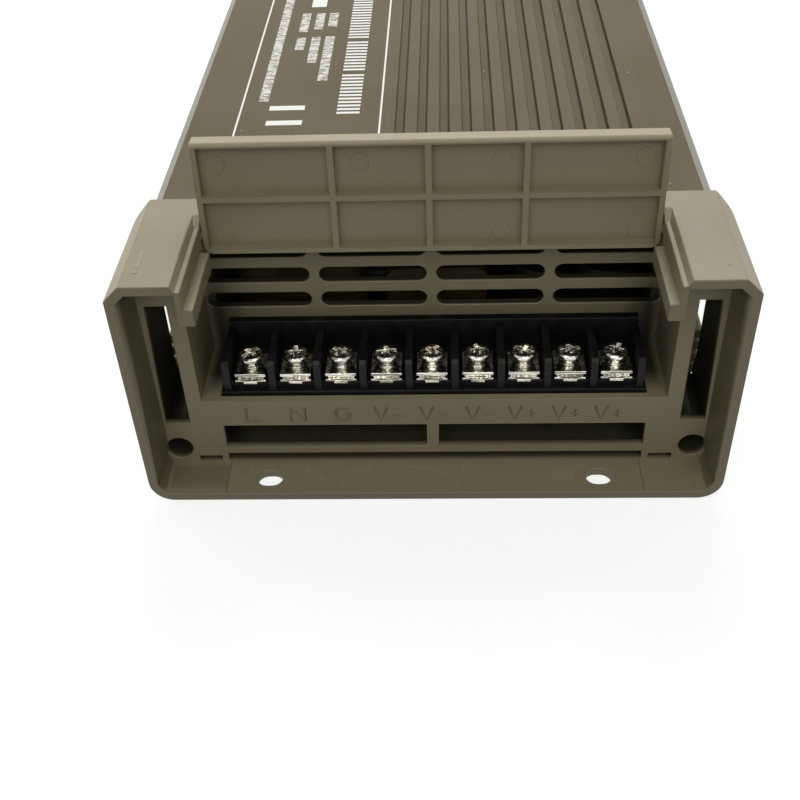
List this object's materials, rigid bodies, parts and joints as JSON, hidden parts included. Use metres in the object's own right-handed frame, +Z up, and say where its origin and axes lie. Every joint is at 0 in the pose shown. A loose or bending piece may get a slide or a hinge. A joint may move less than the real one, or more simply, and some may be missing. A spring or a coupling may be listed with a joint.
{
  "type": "rainproof power supply",
  "caption": "Flat splash shielded switching power supply with a ribbed hinged terminal cover, screw terminals, moulded end caps, a grooved metal housing and a rear fan.",
  "frame": {"origin": "middle of the footprint, on the surface that the case stands on", "axes": "+X across the case to the output terminals, +Y from the terminal end to the fan end, +Z up"},
  "size_m": [0.12, 0.22, 0.071],
  "materials": {
    "cap_plastic": "fine moulded satin",
    "housing_paint": "satin paint",
    "base_metal": "plain",
    "screw_steel": "zinc plated",
    "terminal_black": "moulded semi gloss",
    "terminal_metal": "nickel plated",
    "board_laminate": "bare laminate",
    "standoff_brass": "turned",
    "sheet_plastic": "film",
    "winding_tape": "polyester tape",
    "fuse_metal": "plated",
    "capacitor_sleeve": "shrink sleeve",
    "device_epoxy": "moulded",
    "ferrite": "ground ferrite",
    "copper_wire": "enamelled copper",
    "card_laminate": "solder mask",
    "fan_plastic": "moulded",
    "bearing_bronze": "sintered"
  },
  "bodies": {
    "case": {"front_cap": "cap_plastic", "rear_cap": "cap_plastic", "housing_shell": "housing_paint", "base_plate": "base_metal", "front_cap_screws": "screw_steel", "rear_cap_screws": "screw_steel", "base_screws": "screw_steel", "terminal_block": "terminal_black", "terminal_tabs": "terminal_metal", "clamp_plates": "terminal_metal", "terminal_screws": "terminal_metal", "circuit_board": "board_laminate", "board_standoffs": "standoff_brass", "board_screws": "screw_steel", "insulating_sheet": "sheet_plastic", "line_choke": "winding_tape", "film_capacitor": "winding_tape", "fuse": "fuse_metal", "bulk_capacitors": "capacitor_sleeve", "bridge_rectifier": "device_epoxy", "transformer_core": "ferrite", "transformer_winding": "winding_tape", "switching_transistors": "device_epoxy", "output_rectifiers": "device_epoxy", "clamp_bars": "base_metal", "clamp_bar_screws": "screw_steel", "output_choke": "copper_wire", "output_capacitors": "capacitor_sleeve", "control_board": "card_laminate", "fan_frame": "fan_plastic", "fan_stator": "copper_wire", "fan_bearing": "bearing_bronze", "fan_screws": "screw_steel"},
    "cover": {"terminal_cover": "cap_plastic"},
    "rotor": {"fan_rotor": "fan_plastic"}
  },
  "joints": [
    {"name": "cover_hinge", "type": "hinge", "parent": "case", "child": "cover", "pos_m": [0, -0.08636, 0.0513], "axis": [1, 0, 0], "range_deg": [0, 94]},
    {"name": "fan_spin", "type": "hinge", "parent": "case", "child": "rotor", "pos_m": [0, 0.085, 0.027], "axis": [0, 1, 0], "continuous": true}
  ]
}
